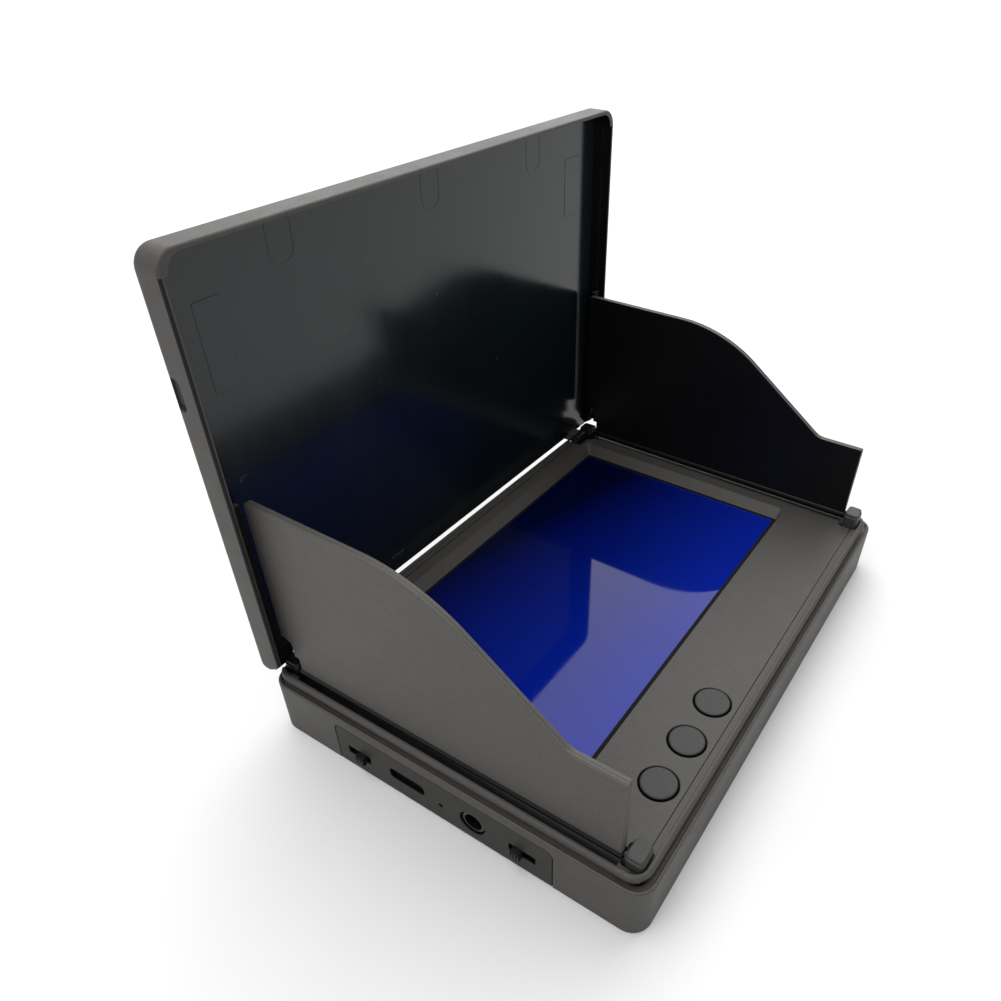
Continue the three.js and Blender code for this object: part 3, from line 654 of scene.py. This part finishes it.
def usb_socket():
    """A steel oval shroud with a tongue inside."""
    low, high = node_box("usb_socket")
    y, z = (low.y + high.y) / 2, (low.z + high.z) / 2
    outer = low.x + 0.2

    def oval(name, half_y, half_z, radius, levels):
        return loft(name, [(rounded((y - half_y, y + half_y), (z - half_z, z + half_z), radius, 6), x)
                           for x in levels], along_x)

    socket = oval("usb_socket_piece", 3.75, 1.35, 0.9, (outer, high.x))
    carve(socket, oval("mouth", 3.45, 1.0, 0.6, (outer - 1, high.x - 0.4)))
    weld(socket, block((outer + 0.7, high.x - 0.2), (y - 1.9, y + 1.9), (z + 0.05, z + 0.6)))
    finish_piece(soften(socket, 0.05), "base", "usb_socket", "socket_steel", SOCKET)


def av_jack():
    """A jack's collar on a square body, with painted shade in its bore."""
    low, high = node_box("av_jack")
    y, z = JACK_PLACE
    collar_end = -54
    piece = turned("av_jack_piece", JACK_PLACE, [
        (1.95, low.x), (2.3, low.x), (2.5, low.x + 0.2), (2.5, collar_end)], along_x, 48)
    weld(piece, block((collar_end - 1.2, high.x), (y - 3.1, y + 3.1), (low.z, high.z)))
    carve(piece, turned("bore", JACK_PLACE, [
        (2.05, low.x - 0.2), (1.75, low.x + 0.25), (1.75, high.x - 1)], along_x, 40))
    finish_piece(soften(piece, 0.05), "base", "av_jack", "component_plastic", COMPONENT, RECESS_SHADE)
    # Painted shade: the faces of the bore take the near-black plastic.
    for face in piece.data.polygons:
        offset = math.hypot(face.center.y / MM - y, face.center.z / MM - z)
        face.material_index = 1 if offset < 1.9 else 0


# ---- hood --------------------------------------------------------------------------------

# The wing's side outline: Y along it and heights above its hinge axis, with the slope in degrees.
WING = {"front": -35.1, "back": 39.3, "foot": 35.8, "root": 0.25, "notch": 3.4, "setback": 2.4, "step": 6.9,
        "low": 18.3, "high": 38.2, "corner": 0.8, "kink": -24.6, "kink_radius": 4, "slope": 36,
        "shoulder": 34}


def curve(p0, p1, p2, steps):
    """Points of a quadratic curve, without its first one."""
    result = []
    for i in range(1, steps + 1):
        t = i / steps
        result.append(tuple(a * (1 - t) ** 2 + 2 * b * t * (1 - t) + c * t * t
                            for a, b, c in zip(p0, p1, p2)))
    return result


def wing_outline():
    """The wing anticlockwise: its foot, the stepped back edge, the round shoulder, slope and kink."""
    w = WING
    slope = math.radians(w["slope"])
    radius = w["shoulder"]
    rise = w["high"] - w["low"] - radius * (1 - math.cos(slope))
    shoulder_y = w["kink"] + rise / math.tan(slope) + radius * math.sin(slope)
    tangent = w["kink_radius"] * math.tan(slope / 2)
    back, top, corner = w["back"], w["high"], w["corner"]
    front, low, kink = w["front"], w["low"], w["kink"]
    points = [(front, w["root"]), (w["foot"], w["root"]), (w["foot"], w["notch"]),
              (back - w["setback"], w["notch"]), (back - w["setback"], w["step"]),
              (back, w["step"] + 1), (back, top - corner)]
    points += curve(points[-1], (back, top), (back - corner, top), 5)
    points += bend(shoulder_y, top - radius, radius, 90, 90 + w["slope"], 24)
    bend_start = (kink + tangent * math.cos(slope), low + tangent * math.sin(slope))
    points.append(bend_start)
    points += curve(bend_start, (kink, low), (kink - tangent, low), 6)
    points.append((front + 0.5, low))
    points += curve(points[-1], (front, low), (front, low - 0.5), 4)
    return points


def wings():
    """Thin blades with a fine groove round the edge, on a barrel that turns on the hinge pin."""
    outline = wing_outline()
    profile = [(0.28, -0.75), (0.08, -0.68), (0, -0.5), (0, -0.02), (0.1, 0.03), (0.1, 0.13), (0, 0.18),
               (0, 0.42), (0.34, 0.75)]
    for word, side in SIDES.items():
        axis = (side * WING_X, WING_Z)

        def stand(u, v, w, side=side):
            return (side * (WING_X + w), u, WING_Z + v)

        wing = loft(f"{word}_wing_piece", outline_rings(outline, profile), stand)
        weld(wing, turned("barrel", axis, [
            (0.95, -35.2), (1.1, -35.05), (1.1, 35.75), (0.95, 35.9)], along_y, 32))
        carve(wing, turned("bore", axis, [(0.65, -36), (0.65, 37)], along_y, 20))
        soften(wing, 0.05, 1)
        finish_piece(wing, f"{word}_wing", f"{word}_wing", "case_plastic", WING_PLASTIC_LIT, HOOD_SHADE)
        # Painted shade: the wing's inner face and the low strip along its barrel take the near-black
        # plastic.
        for face in wing.data.polygons:
            takes_painted_shade = face.normal.x * side < -0.8 or face.center.z < 16 * MM
            face.material_index = 1 if takes_painted_shade else 0


def on_lid(u, v, w):
    """Lid coordinates: X, height above the hinge axis, and depth behind it."""
    return (u, LID_Y + w, LID_Z + v)


def across_lid(u, v, w):
    """Outlines drawn in depth and height on the lid, stacked along X."""
    return (w, LID_Y + u, LID_Z + v)


def lid_block(x, depth, height):
    """A box on the lid from its ranges in X, depth and height."""
    return block(x, (LID_Y + depth[0], LID_Y + depth[1]), (LID_Z + height[0], LID_Z + height[1]))


def lid_shell():
    """A shallow tray on its hinge edge: rabbets and ribs at the sides, a slanted heel, two knuckles."""
    half = node_box("lid_shell")[1].x
    inner = half - 1.6
    rabbet, rib, clear = (inner - 0.1, inner + 0.8), (56.4, inner + 0.9), 0.15
    profile = [(2.9, 5.2)] + bend(2, 3.2, 2, 90, 180, 8) + bend(0.5, -0.6, 0.5, 180, 270, 4)
    lid = loft("lid_shell_piece", panel_rings((-half, half), (-1.2, 79.9), CORNER, profile, 12), on_lid)
    heel = [(-10.1, 9.73), (6.2, -1.91), (6.2, -12), (-10.1, -12)]
    recess = rounded((1.9, 4.3), (56, 61.5), 1.1, 8)
    recess_floor = rounded((2.2, 4.0), (56.4, 61.1), 0.8, 8)
    tools = [
        loft("tray", panel_rings((-inner, inner), (-12, TRAY_TOP), 2.8, [(0, -2), (0, 3.7)], 8), on_lid),
        loft("heel", [(heel, -half - 1), (heel, half + 1)], across_lid),
    ]
    tools += [lid_block(x, (-2, 0.9), (-9, 76.5)) for x in both_sides(*rabbet)]
    tools.append(loft("thumb_recess", [
        (recess, -half - 0.5), (recess, -half + 0.3), (recess_floor, -half + 0.6)], across_lid))
    carve(lid, *tools)
    parts = [lid_block(x, (0.2, 1.3), (4.8, 38.8)) for x in both_sides(*rib)]
    for left, right in both_sides(*KNUCKLE):
        parts.append(lid_block((left + clear, right - clear), (0, 4.2), (-0.7, 1.4)))
        parts.append(turned("knuckle", (LID_Y, LID_Z), [
            (1.35, left), (1.5, left + clear), (1.5, right - clear), (1.35, right)], along_x, 32))
    weld(lid, *parts)
    carve(lid, *[turned("bore", (LID_Y, LID_Z), [(0.7, left - 0.5), (0.7, right + 0.5)], along_x, 20)
                 for left, right in both_sides(*KNUCKLE)])
    soften(lid, 0.16)
    finish_piece(lid, "lid", "lid_shell", "case_plastic", CASE, HOOD_SHADE)
    paint_shade_in_lid(lid, half)


def paint_shade_in_lid(lid, half):
    """Paints shade: gives the near-black plastic to the tray, the side lips, the thumb recess and the
    knuckles.
    """
    for face in lid.data.polygons:
        x = face.center.x / MM
        depth, height = face.center.y / MM - LID_Y, face.center.z / MM - LID_Z
        lip = face.normal.y < -0.35 and depth < 0
        side_lip = lip and abs(x) > 57.3 and height < 76.5
        inwards = abs(x) < half - 0.05 and face.normal.x * x < 0.1 and face.normal.z < 0.1
        in_tray = inwards and not lip and 1.9 < height < 78.9 and depth < 3.8
        in_recess = x < 0.65 - half and 1.95 < depth < 4.2 and 56.1 < height < 61.4
        on_knuckle = KNUCKLE_GAP[0] < abs(x) < KNUCKLE_GAP[1] and height < 1.6 and depth < 2
        face.material_index = 1 if in_tray or side_lip or in_recess or on_knuckle else 0


def lid_liner():
    """The polished panel in the lid's tray, with faint moulding marks and corners cut for the hinges."""
    _, high = node_box("lid_liner")
    half, top = high.x, high.z - LID_Z + 0.3
    face, thick, reach, raised = 2.8, 0.7, 0.27, 0.05
    profile = [(0.12 - reach, face), (-reach, face + 0.1), (-reach, face + thick)]
    liner = loft("lid_liner_piece", panel_rings((-half, half), (-9, top), 2.5, profile, 10), on_lid)
    marks_x, mark_foot = (-35.5, -0.3, 32.6), 71.2

    def mark(x, outline, front, back):
        ring = [(x + u, mark_foot + v) for u, v in outline]
        return loft("mark", [(ring, front), (ring, back)], on_lid)

    marks = [mark(x, rounded((-2.6, 2.6), (0, 8), 2.4, 8), face - raised, face + 0.3) for x in marks_x]
    for x, z in (((-53.2, -48.2), (56.2, 70.6)), ((44.9, 50.4), (59.4, 71.5))):
        pad = [(0.05, face - 0.07), (0, face - 0.03), (0, face + 0.3)]
        marks.append(loft("pad", panel_rings(x, z, 0.4, pad, 3), on_lid))
    dot = [(0.8, face - 0.12), (0.9, face), (0.9, face + 0.3)]
    marks.append(turned("dot", (-52.5, 40.6), dot, on_lid, 20))
    nib = [(0.1, face - 0.3), (0, face + 0.3)]
    marks.append(loft("nib", panel_rings((-23.2, -19.2), (3.4, 4.4), 0.3, nib, 3), on_lid))
    weld(liner, *marks)
    tools = [mark(x, rounded((-2.25, 2.25), (0.35, 8), 2.1, 8), face - 1, face) for x in marks_x]
    tools.append(lid_block((-60, 60), (-3, 9), (-12, 0.4)))
    tools += [lid_block(x, (-2, face), (-12, 39.6)) for x in both_sides(53.5, 57)]
    tools += [lid_block(x, (-3, 9), (-12, 1.8)) for x in both_sides(*KNUCKLE_GAP)]
    carve(liner, *tools)
    weld(liner, lid_block((-57.3, -52.6), (face, face + thick), (-1, 1)))
    soften(liner, 0.02, 1)
    finish_piece(liner, "lid", "lid_liner", "liner_plastic", LINER)


# ---- carried-over CAD nodes --------------------------------------------------------------

def carry_over():
    """Looks for the CAD nodes that are shown as they are."""
    looks = {
        PINS: ["lid_pin_left", "lid_pin_right"] + [f"case_screw_{place}" for place in SCREW_PLACES],
        DARK_PINS: ["left_wing_pin", "right_wing_pin"],
        FILTER: ["sensor_window"],
        PANEL: ["lcd_panel"],
        TRAY: ["backlight_tray"],
        POUCH: ["battery"],
        RESIN: ["charge_lamp", "infrared_lamp_left", "infrared_lamp_right"],
        BOARD: ["main_board", "sensor_board"],
        COMPONENT: [f"tact_switch_{name}" for name in BUTTONS]
                   + ["slide_switch_back", "slide_switch_front", "camera_module"],
        SCREEN: ["screen_glass"],
    }
    for material, names in looks.items():
        for name in names:
            NODES[name].data.materials.clear()
            NODES[name].data.materials.append(material)


# ---- stage -------------------------------------------------------------------------------

def stage():
    """A pale floor just under the part, an even sky and two wide soft suns."""
    reach, drop = 3000, -0.02
    corners = [(-reach, -reach), (reach, -reach), (reach, reach), (-reach, reach)]
    floor = mesh_object("floor", [(x, y, drop) for x, y in corners], [[0, 1, 2, 3]])
    material, tree, shader, where = new_tree("pale_floor")
    tint = blended(tree, scaled(tree, noise(tree, where, 60), 0, 1), grey(0.62), grey(0.65))
    tree.links.new(tint, shader.inputs["Base Color"])
    shader.inputs["Roughness"].default_value = 0.9
    floor.data.materials.append(material)

    world = bpy.data.worlds.new("studio")
    bpy.context.scene.world = world
    world.use_nodes = True
    background = world.node_tree.nodes["Background"]
    background.inputs["Color"].default_value = (1, 1, 1, 1)
    background.inputs["Strength"].default_value = 0.55

    soft_sun("back_window", (0.65, 0.41, 0.85), 80, 3.0)
    soft_sun("ceiling", (-0.55, 0.2, 1), 60, 1.8)


def soft_sun(name, source, spread, power):
    """A far, wide light from the direction of source, so that the floor is lit evenly."""
    light = bpy.data.lights.new(name, "SUN")
    light.angle = math.radians(spread)
    light.energy = power
    obj = bpy.data.objects.new(name, light)
    obj.rotation_euler = (-Vector(source)).to_track_quat("-Z", "Y").to_euler()
    bpy.context.scene.collection.objects.link(obj)


def camera():
    """The view of the photograph: from above the front left corner, rolled by under a degree."""
    data = bpy.data.cameras.new("camera")
    data.sensor_width = 36
    data.lens = 28.76
    data.shift_x = -0.0588
    data.shift_y = 0.0727
    data.clip_start = 0.005
    data.clip_end = 20
    forward = Vector((0.6474, 0.41185, -0.64129)).normalized()
    right = Vector((0.5453, -0.8381, 0.0122))
    right = (right - forward * right.dot(forward)).normalized()
    up = right.cross(forward)
    obj = bpy.data.objects.new("camera", data)
    turn = Matrix((right, up, -forward)).transposed().to_4x4()
    obj.matrix_world = Matrix.Translation(Vector((-118.3, -62.58, 128.95)) * MM) @ turn
    bpy.context.scene.collection.objects.link(obj)
    bpy.context.scene.camera = obj


camera()
stage()
bottom_shell()
top_bezel()
port_plate()
hinge_caps()
buttons()
slider_knobs()
usb_socket()
av_jack()
wings()
lid_shell()
lid_liner()
carry_over()
bpy.context.scene.view_settings.view_transform = "Standard"
